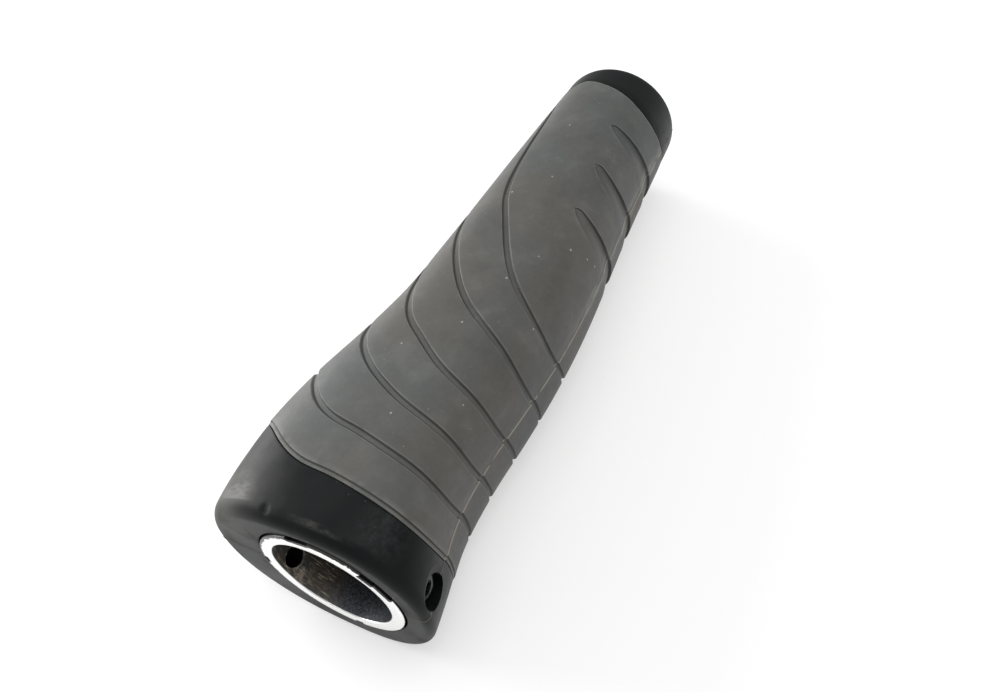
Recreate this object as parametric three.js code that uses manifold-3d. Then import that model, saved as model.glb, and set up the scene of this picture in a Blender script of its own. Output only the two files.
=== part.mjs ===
// A bicycle handlebar grip with a wing under the palm, clamped to the bar by a ring and a grub screw.
// Sizes are in millimetres and angles in degrees. X runs along the bar from the clamp end to the
// inner end, Y points to the palm side and Z up. The origin is on the bar's axis at the clamp face.

import * as THREE from 'three';
import { LoftGeometry } from 'three/addons/geometries/LoftGeometry.js';
import { mergeVertices } from 'three/addons/utils/BufferGeometryUtils.js';
import Module from 'manifold-3d';

// Overall sizes

const BAR_DIAMETER = 22.2;
const GRIP_LENGTH = 135;
const TAPER_LENGTH = 32;

// Fits

const GAP = 0.3;

// The moulded shape: how far the surface stands outside the bar at each place along the grip, on
// the palm side, on the finger side, above and below, and how square its section is (2 is round).

const SHAPE = [
  { along: 0, palm: 12.9, finger: 7.3, above: 5.6, below: 7.5, squareness: 2.2 },
  { along: 10, palm: 11.8, finger: 4.6, above: 5.7, below: 5.8, squareness: 3.3 },
  { along: 18, palm: 11.8, finger: 3.1, above: 5.6, below: 5.6, squareness: 3.4 },
  { along: 30, palm: 10.3, finger: 3.2, above: 5.4, below: 5.5, squareness: 3.3 },
  { along: 42, palm: 7.2, finger: 4.5, above: 5.3, below: 5.4, squareness: 3.2 },
  { along: 54, palm: 5.1, finger: 5.6, above: 5.1, below: 5.2, squareness: 3.0 },
  { along: 68, palm: 4.5, finger: 5.9, above: 4.9, below: 5.0, squareness: 2.8 },
  { along: GRIP_LENGTH - TAPER_LENGTH, palm: 3.7, finger: 4.0, above: 4.2, below: 4.3, squareness: 2.5 },
  { along: GRIP_LENGTH, palm: 3.4, finger: 3.4, above: 3.5, below: 3.5, squareness: 2.0 },
];

// Core

const CLAMP_FACE_SET_BACK = 0.3;
const CLAMP_FACE_ROUND_ABOVE = 2.6;
const CLAMP_FACE_ROUND_BELOW = 1.4;
const CLAMP_FACE_LAND = 0.5;
const INNER_FACE_ROUND = 0.8;
const HOUSING_STEP = 0.2;
const SCREW_WELL_LENGTH = 5.7;
const SCREW_WELL_HEIGHT = 8.6;
const SCREW_WELL_LEAN = 32;

// Rubber sleeve. Its two edges wander round the grip: places along the grip at the pattern's angles,
// the first from the clamp end and the second back from the inner end. Angles start at the palm side
// and turn over the top.

const RUBBER_WALL = 1.6;
const EDGE_ROUND = 0.4;
const PATTERN_ANGLES = [20, 35, 50, 65, 80, 110, 140, 180, 230, 290, 350];
const CLAMP_EDGE = [17.6, 16.5, 13.1, 10.9, 10.4, 9.2, 8.4, 10.5, 11.5, 14.5, 17.3];
const INNER_EDGE = [5.2, 5.8, 6.2, 5.6, 6.6, 9.4, 11.8, 9.9, 8.5, 6.0, 4.5];

// Grooves and finger scallops, as percent of the way from the sleeve's clamp edge to its inner edge

const GROOVE_WIDTH = 1.3;
const GROOVE_DEPTH = 0.5;
const GROOVE_SLOPE = 0.25;
const GROOVE_PERCENTS = [
  [13.3, 11.4, 9.0, 8.0, 7.6, 7.0, 7.0, 7.1, 7.8, 10.0, 13.9],
  [29.3, 26.2, 21.3, 18.0, 16.0, 14.1, 13.9, 13.9, 15.7, 21.4, 30.6],
  [47.6, 43.9, 36.1, 29.3, 26.1, 22.2, 21.3, 21.3, 23.9, 33.6, 47.5],
  [63.6, 59.0, 51.7, 44.5, 39.0, 33.2, 30.3, 29.8, 33.0, 46.7, 64.2],
  [91.7, 93.2, 89.8, 67.3, 56.6, 44.8, 39.0, 38.2, 44.3, 69.4, 91.2],
];
const SCALLOP_WIDTH = 5.8;
const SCALLOP_DEPTH = 0.6;
const SCALLOPS = [
  {
    startAngle: 124.5,
    endAngle: 250,
    percents: [93.8, 95.0, 92.6, 76.0, 67.1, 64.8, 65.3, 65.2, 67.4, 78.2, 93.4],
  },
  {
    startAngle: 121.5,
    endAngle: 248,
    percents: [95.6, 96.8, 95.2, 83.2, 78.5, 77.8, 78.0, 78.3, 80.4, 86.0, 95.3],
  },
  {
    startAngle: 115.5,
    endAngle: 244,
    percents: [97.5, 98.4, 97.5, 90.8, 89.1, 89.8, 91.3, 91.4, 93.0, 93.4, 97.4],
  },
];

// Clamp ring. Keys of the moulding fill its notches from a little behind its end face.

const RING_WALL = 2.3;
const RING_WIDTH = 8.6;
const RING_EDGE = 0.3;
const NOTCH_REACH = 4;
const KEY_SET_BACK = 0.6;
const NOTCHES = [
  { angle: 81, width: 4.6, depth: 1 },
  { angle: 137, width: 3, depth: 1.5 },
  { angle: 152, width: 4.4, depth: 0.9 },
  { angle: 263, width: 1.6, depth: 0.8 },
  { angle: 359, width: 2, depth: 0.9 },
];
const CROSS_HOLE_DIAMETER = 4;
const CROSS_HOLE_ALONG = 3;
const CROSS_HOLE_ANGLE = -16;

// Grub screw

const SCREW_DIAMETER = 5;
const SCREW_LENGTH = 3.8;
const SCREW_ALONG = 5;
const SCREW_ANGLE = 176.5;
const SCREW_CHAMFER = 0.5;
const HEX_KEY = 2.5;
const HEX_DEPTH = 2;

// Fineness of the meshes

const AROUND = 60;
const ROUND_STEPS = 3;
const FINE = 48;
const BAND_LINES = [1, 2, 2, 2, 2, 3, 2, 2, 1];

const barRadius = BAR_DIAMETER / 2;
const ringRadius = barRadius + RING_WALL;
const pocketRadius = ringRadius + GAP;
const pocketDepth = RING_WIDTH + GAP;
const radians = THREE.MathUtils.degToRad;

const wasm = await Module();
wasm.setup();

// Solids

function toSolid(geometry) {
  const bare = new THREE.BufferGeometry();
  bare.setAttribute('position', geometry.attributes.position);
  bare.setIndex(geometry.index);
  const merged = mergeVertices(bare, 1e-5);
  const vertProperties = new Float32Array(merged.attributes.position.array);
  const triVerts = new Uint32Array(merged.index.array);
  return new wasm.Manifold(new wasm.Mesh({ numProp: 3, vertProperties, triVerts }));
}

function toMesh(name, solid, material) {
  const { vertProperties, triVerts } = solid.getMesh();
  const geometry = new THREE.BufferGeometry();
  geometry.setAttribute('position', new THREE.BufferAttribute(vertProperties, 3));
  geometry.setIndex(new THREE.BufferAttribute(triVerts, 1));
  geometry.computeVertexNormals();
  const mesh = new THREE.Mesh(geometry, material);
  mesh.name = name;
  return mesh;
}

// A closed skin whose outline is given for each angle round the bar
function skinAroundBar(outlineAt) {
  const outlines = [];
  for (let step = AROUND; step > 0; step -= 1) {
    outlines.push(outlineAt((step * 360) / AROUND));
  }
  outlines.push(outlines[0].map((point) => point.clone()));
  return toSolid(new LoftGeometry(outlines));
}

// A rod that stands out from the bar's axis at an angle round it. It is round, or oval where it has one
// radius along the bar and another across it, and the oval can lean along the bar.
function radialRod({ radius, across = radius, lean = 0, from, to, along, angle }) {
  const rod = new THREE.CylinderGeometry(1, 1, to - from, FINE / 2);
  rod.scale(radius, 1, across);
  rod.rotateY(radians(lean));
  rod.translate(0, (from + to) / 2, 0);
  rod.rotateX(radians(angle));
  rod.translate(along, 0, 0);
  return toSolid(rod);
}

// A block that stands out from the bar's axis at an angle round it
function radialBlock({ width, start, end, from, to, angle }) {
  const block = new THREE.BoxGeometry(end - start, to - from, width);
  block.translate((start + end) / 2, (from + to) / 2, 0);
  block.rotateX(radians(angle));
  return toSolid(block);
}

// The moulded surface

const shapeCurve = new THREE.CubicInterpolant(
  SHAPE.map((section) => section.along),
  SHAPE.flatMap(({ palm, finger, above, below, squareness }) => [palm, finger, above, below, squareness]),
  5,
);

function surfaceRadius(along, angle) {
  const place = THREE.MathUtils.clamp(along, 0, GRIP_LENGTH);
  const [palm, finger, above, below, squareness] = shapeCurve.evaluate(place);
  const cosine = Math.cos(radians(angle));
  const sine = Math.sin(radians(angle));
  const width = barRadius + (cosine > 0 ? palm : finger);
  const height = barRadius + (sine > 0 ? above : below);
  const across = Math.abs(cosine / width) ** squareness;
  const upright = Math.abs(sine / height) ** squareness;
  return (across + upright) ** (-1 / squareness);
}

function pointAt(along, angle, radius) {
  return new THREE.Vector3(along, radius * Math.cos(radians(angle)), radius * Math.sin(radians(angle)));
}

// Curves that run round the grip and close on themselves

function curveAround(values) {
  const last = PATTERN_ANGLES.length - 1;
  const angles = [PATTERN_ANGLES[last - 1] - 360, PATTERN_ANGLES[last] - 360, ...PATTERN_ANGLES];
  const places = [values[last - 1], values[last], ...values];
  for (const index of [0, 1, 2]) {
    angles.push(PATTERN_ANGLES[index] + 360);
    places.push(values[index]);
  }
  const curve = new THREE.CubicInterpolant(angles, places, 1);
  return (angle) => curve.evaluate(THREE.MathUtils.euclideanModulo(angle, 360))[0];
}

const clampEdge = curveAround(CLAMP_EDGE);
const innerEdge = curveAround(INNER_EDGE.map((back) => GRIP_LENGTH - back));

function lineAcrossSleeve(percents) {
  const share = curveAround(percents);
  return (angle) => THREE.MathUtils.lerp(clampEdge(angle), innerEdge(angle), share(angle) / 100);
}

const grooveLines = GROOVE_PERCENTS.map(lineAcrossSleeve);
const scallopLines = SCALLOPS.map(({ percents }) => lineAcrossSleeve(percents));
const sleeveLines = [clampEdge, ...grooveLines, ...scallopLines, innerEdge];

function lineBetween(before, after, share) {
  return (angle) => THREE.MathUtils.lerp(before(angle), after(angle), share);
}

// The lines that the core and the sleeve share where they lie against each other
const seatLines = [];
for (let band = 0; band < sleeveLines.length - 1; band += 1) {
  seatLines.push(sleeveLines[band], lineBetween(sleeveLines[band], sleeveLines[band + 1], 0.5));
}
seatLines.shift();

// A point beside a line: moved squarely off the line by an offset, and sunk below the surface
function besideLine(line, angle, offset, depth) {
  const reach = 360 / AROUND / 2;
  const along = line(angle);
  const radius = surfaceRadius(along, angle);
  const run = radius * radians(2 * reach);
  const rise = line(angle + reach) - line(angle - reach);
  const slant = Math.hypot(run, rise);
  const movedAlong = along + (offset * run) / slant;
  const movedAngle = angle - THREE.MathUtils.radToDeg((offset * rise) / slant / radius);
  return pointAt(movedAlong, movedAngle, surfaceRadius(movedAlong, movedAngle) - depth);
}

function grooveOutline(line, angle) {
  const edge = GROOVE_WIDTH / 2;
  const floor = edge - GROOVE_SLOPE;
  return [
    besideLine(line, angle, -edge, 0),
    besideLine(line, angle, -floor, GROOVE_DEPTH),
    besideLine(line, angle, floor, GROOVE_DEPTH),
    besideLine(line, angle, edge, 0),
  ];
}

// A scallop slopes down from nothing to its deep edge, and fades out towards both its ends
function scallopOutline(line, { startAngle, endAngle }, angle) {
  const part = THREE.MathUtils.clamp((angle - startAngle) / (endAngle - startAngle), 0, 1);
  const fade = Math.sqrt(Math.sin(Math.PI * part));
  const width = Math.max(SCALLOP_WIDTH * fade, 2 * GROOVE_SLOPE);
  return [
    besideLine(line, angle, -width, 0),
    besideLine(line, angle, -GROOVE_SLOPE, SCALLOP_DEPTH * fade),
    besideLine(line, angle, 0, 0),
  ];
}

// Core: one black moulding that is the housing round the clamp ring, the tube under the rubber
// and the collar at the inner end

function coreOutline(angle) {
  const under = RUBBER_WALL + GAP;
  const half = GAP / 2;
  const faceRadius = surfaceRadius(CLAMP_FACE_SET_BACK, angle);
  const fullRound = THREE.MathUtils.lerp(
    CLAMP_FACE_ROUND_BELOW,
    CLAMP_FACE_ROUND_ABOVE,
    (1 + Math.sin(radians(angle))) / 2,
  );
  const round = Math.min(fullRound, faceRadius - pocketRadius - CLAMP_FACE_LAND);
  const outline = [
    pointAt(CLAMP_FACE_SET_BACK, angle, pocketRadius),
    pointAt(CLAMP_FACE_SET_BACK, angle, faceRadius - round),
  ];
  for (let step = 1; step <= ROUND_STEPS; step += 1) {
    const turn = (step / ROUND_STEPS) * (Math.PI / 2);
    const along = CLAMP_FACE_SET_BACK + round * (1 - Math.cos(turn));
    const sunk = round * (1 - Math.sin(turn)) + HOUSING_STEP * Math.sin(turn);
    outline.push(pointAt(along, angle, surfaceRadius(along, angle) - sunk));
  }
  const halfway = (CLAMP_FACE_SET_BACK + round + clampEdge(angle)) / 2;
  outline.push(
    pointAt(halfway, angle, surfaceRadius(halfway, angle) - HOUSING_STEP),
    besideLine(clampEdge, angle, -half - EDGE_ROUND, HOUSING_STEP),
    besideLine(clampEdge, angle, -half, HOUSING_STEP + EDGE_ROUND),
    besideLine(clampEdge, angle, -half, under),
  );
  for (const line of seatLines) {
    outline.push(besideLine(line, angle, 0, under));
  }
  outline.push(
    besideLine(innerEdge, angle, half, under),
    besideLine(innerEdge, angle, half, EDGE_ROUND),
    besideLine(innerEdge, angle, half + EDGE_ROUND, 0),
    pointAt(GRIP_LENGTH - INNER_FACE_ROUND, angle, surfaceRadius(GRIP_LENGTH, angle)),
    pointAt(GRIP_LENGTH, angle, surfaceRadius(GRIP_LENGTH, angle) - INNER_FACE_ROUND),
    pointAt(GRIP_LENGTH, angle, barRadius),
    pointAt(pocketDepth, angle, barRadius),
    pointAt(pocketDepth, angle, pocketRadius),
  );
  return outline;
}

// What fills the clamp ring's notch, out to the housing's wall
function makeKey({ angle, width, depth }) {
  return radialBlock({
    width: width - 2 * GAP,
    start: KEY_SET_BACK,
    end: NOTCH_REACH - GAP,
    from: ringRadius - depth + GAP,
    to: pocketRadius + CLAMP_FACE_LAND,
    angle,
  });
}

function makeCore() {
  const well = radialRod({
    radius: SCREW_WELL_LENGTH / 2,
    across: SCREW_WELL_HEIGHT / 2,
    lean: SCREW_WELL_LEAN,
    from: barRadius,
    to: 2 * pocketRadius,
    along: SCREW_ALONG,
    angle: SCREW_ANGLE,
  });
  let core = skinAroundBar(coreOutline).subtract(well);
  for (const notch of NOTCHES) {
    core = core.add(makeKey(notch));
  }
  const material = new THREE.MeshStandardMaterial({ color: 0x2b2c2d, roughness: 0.45, metalness: 0 });
  return toMesh('core', core, material);
}

// Rubber sleeve: grey rubber moulded over the core, with grooves and finger scallops

function sleeveOutline(angle) {
  const half = GAP / 2;
  const outline = [
    besideLine(clampEdge, angle, half, RUBBER_WALL),
    besideLine(clampEdge, angle, half, EDGE_ROUND),
    besideLine(clampEdge, angle, half + EDGE_ROUND, 0),
  ];
  for (let band = 0; band < BAND_LINES.length; band += 1) {
    for (let step = 1; step <= BAND_LINES[band]; step += 1) {
      const share = step / (BAND_LINES[band] + 1);
      const plain = lineBetween(sleeveLines[band], sleeveLines[band + 1], share);
      outline.push(pointAt(plain(angle), angle, surfaceRadius(plain(angle), angle)));
    }
    if (band < grooveLines.length) {
      outline.push(...grooveOutline(grooveLines[band], angle));
    } else if (band < BAND_LINES.length - 1) {
      const scallop = band - grooveLines.length;
      outline.push(...scallopOutline(scallopLines[scallop], SCALLOPS[scallop], angle));
    }
  }
  outline.push(
    besideLine(innerEdge, angle, -half - EDGE_ROUND, 0),
    besideLine(innerEdge, angle, -half, EDGE_ROUND),
    besideLine(innerEdge, angle, -half, RUBBER_WALL),
  );
  for (const line of seatLines.toReversed()) {
    outline.push(besideLine(line, angle, 0, RUBBER_WALL));
  }
  return outline;
}

function makeSleeve() {
  const material = new THREE.MeshStandardMaterial({ color: 0x646462, roughness: 0.75, metalness: 0 });
  return toMesh('rubber_sleeve', skinAroundBar(sleeveOutline), material);
}

// Clamp ring: turned aluminium, notched so that the moulding grips it, with a hole for the screw
// and a cross hole on the far side

function makeClampRing() {
  const profile = [
    new THREE.Vector2(barRadius, RING_WIDTH),
    new THREE.Vector2(barRadius, RING_EDGE),
    new THREE.Vector2(barRadius + RING_EDGE, 0),
    new THREE.Vector2(ringRadius - RING_EDGE, 0),
    new THREE.Vector2(ringRadius, RING_EDGE),
    new THREE.Vector2(ringRadius, RING_WIDTH),
    new THREE.Vector2(barRadius, RING_WIDTH),
  ];
  const turned = new THREE.LatheGeometry(profile, FINE);
  turned.rotateZ(-Math.PI / 2);
  let ring = toSolid(turned);
  for (const { angle, width, depth } of NOTCHES) {
    const notch = radialBlock({
      width,
      start: -GAP,
      end: NOTCH_REACH,
      from: ringRadius - depth,
      to: 2 * ringRadius,
      angle,
    });
    ring = ring.subtract(notch);
  }
  const screwHole = radialRod({
    radius: SCREW_DIAMETER / 2 + GAP,
    from: 0,
    to: 2 * ringRadius,
    along: SCREW_ALONG,
    angle: SCREW_ANGLE,
  });
  const crossHole = radialRod({
    radius: CROSS_HOLE_DIAMETER / 2,
    from: 0,
    to: 2 * ringRadius,
    along: CROSS_HOLE_ALONG,
    angle: CROSS_HOLE_ANGLE,
  });
  ring = ring.subtract(screwHole).subtract(crossHole);
  const material = new THREE.MeshStandardMaterial({ color: 0xd8d8d6, roughness: 0.3, metalness: 1 });
  return toMesh('clamp_ring', ring, material);
}

// Grub screw: steel, with a chamfer at both ends and a hexagon socket, driven in from the finger side

function makeGrubScrew() {
  const radius = SCREW_DIAMETER / 2;
  const tip = barRadius + GAP;
  const head = tip + SCREW_LENGTH;
  const profile = [
    new THREE.Vector2(0, tip),
    new THREE.Vector2(radius - SCREW_CHAMFER, tip),
    new THREE.Vector2(radius, tip + SCREW_CHAMFER),
    new THREE.Vector2(radius, head - SCREW_CHAMFER),
    new THREE.Vector2(radius - SCREW_CHAMFER, head),
    new THREE.Vector2(0, head),
  ];
  const turned = new THREE.LatheGeometry(profile, FINE / 2);
  const socketRadius = HEX_KEY / 2 / Math.cos(Math.PI / 6);
  const socket = new THREE.CylinderGeometry(socketRadius, socketRadius, 2 * HEX_DEPTH, 6);
  socket.translate(0, head, 0);
  const material = new THREE.MeshStandardMaterial({ color: 0x4a4a4c, roughness: 0.4, metalness: 1 });
  const screw = toMesh('grub_screw', toSolid(turned).subtract(toSolid(socket)), material);
  screw.rotation.x = radians(SCREW_ANGLE);
  screw.position.x = SCREW_ALONG;
  return screw;
}

const grip = new THREE.Group();
grip.add(makeCore(), makeSleeve(), makeClampRing(), makeGrubScrew());

export default grip;
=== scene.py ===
# A bicycle handlebar grip with a wing under the palm, seen from its clamp end.
# The frame's origin is on the bar's axis at the clamp face: X runs along the bar to the inner end,
# Y points to the palm side and Z up. Everything here is in metres unless its name says otherwise.
import math

import bpy
import numpy as np
from mathutils import Matrix, Vector


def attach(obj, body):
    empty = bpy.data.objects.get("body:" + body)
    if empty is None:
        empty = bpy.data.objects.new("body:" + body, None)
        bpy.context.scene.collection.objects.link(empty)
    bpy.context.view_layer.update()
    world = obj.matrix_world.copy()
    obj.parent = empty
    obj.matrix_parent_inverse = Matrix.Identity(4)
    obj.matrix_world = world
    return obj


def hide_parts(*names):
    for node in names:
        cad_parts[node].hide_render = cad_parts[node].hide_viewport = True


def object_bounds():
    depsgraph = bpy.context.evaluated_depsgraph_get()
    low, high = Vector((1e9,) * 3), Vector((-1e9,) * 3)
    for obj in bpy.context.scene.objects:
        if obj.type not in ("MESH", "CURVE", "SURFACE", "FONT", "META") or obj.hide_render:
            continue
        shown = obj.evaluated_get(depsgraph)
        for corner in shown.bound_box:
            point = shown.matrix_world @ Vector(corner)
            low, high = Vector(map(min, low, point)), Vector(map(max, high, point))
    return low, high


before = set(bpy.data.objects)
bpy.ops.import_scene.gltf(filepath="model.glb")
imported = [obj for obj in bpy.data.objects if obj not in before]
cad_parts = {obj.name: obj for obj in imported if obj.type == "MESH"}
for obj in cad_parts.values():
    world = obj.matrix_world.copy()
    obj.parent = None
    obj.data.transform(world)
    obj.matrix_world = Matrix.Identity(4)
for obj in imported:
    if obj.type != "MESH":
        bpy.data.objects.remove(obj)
cad_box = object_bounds()

MM = 0.001

# Camera
# It looks down on the clamp end from the finger side, close enough for strong perspective,
# and is rolled so that the grip runs up to the right.

CAMERA_PLACE = (-0.0334, -0.0632, 0.1164)
CAMERA_RIGHT = (0.42334, -0.89626, -0.13224)
CAMERA_UP = (0.71017, 0.23766, 0.66270)
CAMERA_LENS_MM = 28.8

right = Vector(CAMERA_RIGHT).normalized()
up = Vector(CAMERA_UP)
up = (up - right * up.dot(right)).normalized()
camera_turn = Matrix((right, up, right.cross(up))).transposed().to_4x4()
camera_data = bpy.data.cameras.new("camera")
camera_data.lens = CAMERA_LENS_MM
camera_data.sensor_width = 36
camera_data.clip_start = 0.005
camera = bpy.data.objects.new("camera", camera_data)
camera.matrix_world = Matrix.Translation(CAMERA_PLACE) @ camera_turn
bpy.context.scene.collection.objects.link(camera)
bpy.context.scene.camera = camera

# Core
# One black glass-filled nylon moulding: the housing round the clamp ring, the tube that slides on
# the bar and the collar at the inner end. The mould leaves a fine flash line on both sides.

BAR_RADIUS = 22.2 / 2 * MM
GRIP_LENGTH = 135 * MM
GAP = 0.3 * MM

# The moulded shape: how far the surface stands outside the bar, in mm, at places along the grip,
# on the palm side, on the finger side, above and below, and how square its section is
SHAPE_ALONG = np.array([0, 10, 18, 30, 42, 54, 68, 103, 135]) * MM
SHAPE_PALM = np.array([12.9, 11.8, 11.8, 10.3, 7.2, 5.1, 4.5, 3.7, 3.4]) * MM
SHAPE_FINGER = np.array([7.3, 4.6, 3.1, 3.2, 4.5, 5.6, 5.9, 4.0, 3.4]) * MM
SHAPE_ABOVE = np.array([5.6, 5.7, 5.6, 5.4, 5.3, 5.1, 4.9, 4.2, 3.5]) * MM
SHAPE_BELOW = np.array([7.5, 5.8, 5.6, 5.5, 5.4, 5.2, 5.0, 4.3, 3.5]) * MM
SHAPE_SQUARENESS = np.array([2.2, 3.3, 3.4, 3.3, 3.2, 3.0, 2.8, 2.5, 2.0])

# The rubber's two edges: how far one is from the clamp face and the other from the inner end, at
# angles round the grip from the palm side over the top
PATTERN_ANGLES = np.array([20, 35, 50, 65, 80, 110, 140, 180, 230, 290, 350])
CLAMP_EDGE = np.array([17.6, 16.5, 13.1, 10.9, 10.4, 9.2, 8.4, 10.5, 11.5, 14.5, 17.3]) * MM
INNER_EDGE = np.array([5.2, 5.8, 6.2, 5.6, 6.6, 9.4, 11.8, 9.9, 8.5, 6.0, 4.5]) * MM

RING_RADIUS = BAR_RADIUS + 2.3 * MM
POCKET_RADIUS = RING_RADIUS + GAP
POCKET_DEPTH = 8.9 * MM
CLAMP_FACE_SET_BACK = 0.3 * MM
CLAMP_FACE_ROUND_ABOVE = 2.6 * MM
CLAMP_FACE_ROUND_BELOW = 1.4 * MM
CLAMP_FACE_LAND = 0.5 * MM
INNER_FACE_ROUND = 0.8 * MM
HOUSING_STEP = 0.2 * MM
BAND_STEP = 0.1 * MM
RUBBER_WALL = 1.6 * MM
SEAM = 0.06 * MM
HOUSING_EDGE_ROUND = 0.15 * MM
POCKET_CHAMFER = 0.15 * MM
BORE_CHAMFER = 0.4 * MM
CORE_COLUMNS = 400

# The screw's well is oval and leans along the grip, and its mouth is dished
SCREW_ALONG = 5 * MM
SCREW_ANGLE = 176.5
WELL_LENGTH = 5.7 * MM
WELL_HEIGHT = 8.6 * MM
WELL_LEAN = 32
DISH_MARGIN = 0.8 * MM
DISH_DEPTH = 0.35 * MM
DISH_CURVE = 2 * MM

# Keys of the moulding fill the ring's notches: the angle, width and depth of each notch
NOTCHES = [(81, 4.6 * MM, 1 * MM), (137, 3 * MM, 1.5 * MM), (152, 4.4 * MM, 0.9 * MM)]
NOTCHES += [(263, 1.6 * MM, 0.8 * MM), (359, 2 * MM, 0.9 * MM)]
NOTCH_REACH = 4 * MM
NOTCH_ROUND = 0.15 * MM
KEY_SET_BACK = 0.6 * MM
KEY_ROUND = 0.1 * MM

# The mould's marks: its two halves met at the palm side and the finger side, a little out of line,
# and it was filled through a gate whose scar is a small dimple
FLASH_HEIGHT = 0.07 * MM
FLASH_HALF_ANGLE = 0.5
HALVES_SHIFT = 0.3 * MM
GATE_ALONG = 2.0 * MM
GATE_ANGLE = 63.5
GATE_RADIUS = 0.8 * MM
GATE_DEPTH = 0.16 * MM


def cubic(places, values, slopes):
    """A curve of cubics through the values, with the given slope at each."""

    def at(place):
        place = np.clip(place, places[0], places[-1])
        index = np.clip(np.searchsorted(places, place) - 1, 0, len(places) - 2)
        width = places[index + 1] - places[index]
        part = (place - places[index]) / width
        rest = 1 - part
        start = rest * rest * ((1 + 2 * part) * values[index] + part * width * slopes[index])
        end = part * part * ((1 + 2 * rest) * values[index + 1] - rest * width * slopes[index + 1])
        return start + end

    return at


def curve_along(values):
    """A curve along the grip, whose slope at each place is the mean of those on its two sides."""
    secants = np.diff(values) / np.diff(SHAPE_ALONG)
    slopes = np.concatenate([secants[:1], (secants[1:] + secants[:-1]) / 2, secants[-1:]])
    return cubic(SHAPE_ALONG, values, slopes)


def curve_around(values):
    """The smoothest cubic curve round the grip that closes on itself, through the pattern's angles."""
    values = np.asarray(values, float)
    after = np.roll(PATTERN_ANGLES, -1)
    width = np.mod(after - PATTERN_ANGLES, 360)
    secant = (np.roll(values, -1) - values) / width
    width_before = np.roll(width, 1)
    secant_before = np.roll(secant, 1)
    count = len(values)
    system = np.diag(2 / width_before + 2 / width)
    for index in range(count):
        system[index, index - 1] += 1 / width_before[index]
        system[index, (index + 1) % count] += 1 / width[index]
    slopes = np.linalg.solve(system, 3 * (secant_before / width_before + secant / width))
    places = np.concatenate([PATTERN_ANGLES[-1:] - 360, PATTERN_ANGLES, PATTERN_ANGLES[:1] + 360])
    closed_values = np.concatenate([values[-1:], values, values[:1]])
    closed_slopes = np.concatenate([slopes[-1:], slopes, slopes[:1]])
    closed = cubic(places, closed_values, closed_slopes)
    return lambda angle: closed(np.mod(angle, 360))


palm_reach = curve_along(SHAPE_PALM)
finger_reach = curve_along(SHAPE_FINGER)
height_above = curve_along(SHAPE_ABOVE)
height_below = curve_along(SHAPE_BELOW)
squareness = curve_along(SHAPE_SQUARENESS)


def flash_lift(angle):
    """How far the flash line stands out from the surface."""
    from_parting = np.abs(np.mod(angle + 90, 180) - 90)
    return FLASH_HEIGHT * np.clip(1 - from_parting / FLASH_HALF_ANGLE, 0, 1)


def surface_radius(along, angle):
    """How far the moulded surface is from the bar's axis."""
    cosine = np.cos(np.radians(angle))
    sine = np.sin(np.radians(angle))
    width = BAR_RADIUS + np.where(cosine > 0, palm_reach(along), finger_reach(along))
    height = BAR_RADIUS + np.where(sine > 0, height_above(along), height_below(along))
    power = squareness(along)
    smooth = (np.abs(cosine / width) ** power + np.abs(sine / height) ** power) ** (-1 / power)
    return smooth + flash_lift(angle)


clamp_edge = curve_around(CLAMP_EDGE)
inner_edge = curve_around(GRIP_LENGTH - INNER_EDGE)


def points_at(along, angle, radius):
    """Points from places along the grip, angles round it and distances from the bar's axis."""
    along = along + 0 * angle
    turn = np.radians(angle)
    return np.stack([along, radius * np.cos(turn), radius * np.sin(turn)], axis=-1)


def below_parting(angle):
    """0 over the parting plane and 1 under it, with a quick change at the flash line."""
    degrees_above = np.degrees(np.sin(np.radians(angle)))
    return np.clip(0.5 - degrees_above / FLASH_HALF_ANGLE / 2, 0, 1)


def beside_line(line, angle, offset, depth):
    """Points beside a line: moved squarely off it by an offset and sunk below the surface."""
    along = line(angle)
    radius = surface_radius(along, angle)
    run = radius * math.radians(2)
    rise = line(angle + 1) - line(angle - 1)
    slant = np.hypot(run, rise)
    moved_angle = angle - np.degrees(offset * rise / slant / radius)
    moved = along + offset * run / slant + HALVES_SHIFT * below_parting(moved_angle)
    return points_at(moved, moved_angle, surface_radius(moved, moved_angle) - depth)


def at_surface(along, angle, depth):
    """Points below the moulded surface by a depth."""
    return points_at(along, angle, surface_radius(along, angle) - depth)


def angles_round_grip(count):
    """Even angles, with close ones at the flash line on the palm side and the finger side."""
    even = np.arange(count) * 360 / count
    close = np.array([-1, -0.5, 0, 0.5, 1]) * FLASH_HALF_ANGLE
    return np.unique(np.round(np.concatenate([even, close % 360, close + 180]), 4))


def select_only(piece):
    bpy.ops.object.select_all(action="DESELECT")
    piece.select_set(True)
    bpy.context.view_layer.objects.active = piece


def skin(name, rows, painted_shadings=None):
    """A closed skin: a sheet with a row for each line round the grip, rolled up and sewn."""
    rows = np.array(rows)
    row_count, column_count = rows.shape[:2]
    bpy.ops.object.select_all(action="DESELECT")
    bpy.ops.mesh.primitive_grid_add(x_subdivisions=column_count, y_subdivisions=row_count, size=2)
    piece = bpy.context.object
    piece.name = name
    piece.data.name = name
    flat = np.empty(len(piece.data.vertices) * 3)
    piece.data.vertices.foreach_get("co", flat)
    flat = flat.reshape(-1, 3)
    column = np.round((flat[:, 0] + 1) / 2 * column_count).astype(int) % column_count
    row = np.round((flat[:, 1] + 1) / 2 * row_count).astype(int) % row_count
    piece.data.vertices.foreach_set("co", rows[row, column].ravel())
    # Painted shading, where given, is kept on the points for the material
    if painted_shadings is not None:
        painted_shading = piece.data.attributes.new("painted_shading", "FLOAT", "POINT")
        painted_shading.data.foreach_set("value", np.array(painted_shadings)[row, column])
    piece.data.update()
    bpy.ops.object.mode_set(mode="EDIT")
    bpy.ops.mesh.select_all(action="SELECT")
    bpy.ops.mesh.remove_doubles(threshold=1e-7)
    bpy.ops.mesh.normals_make_consistent(inside=False)
    bpy.ops.object.mode_set(mode="OBJECT")
    return piece


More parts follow.
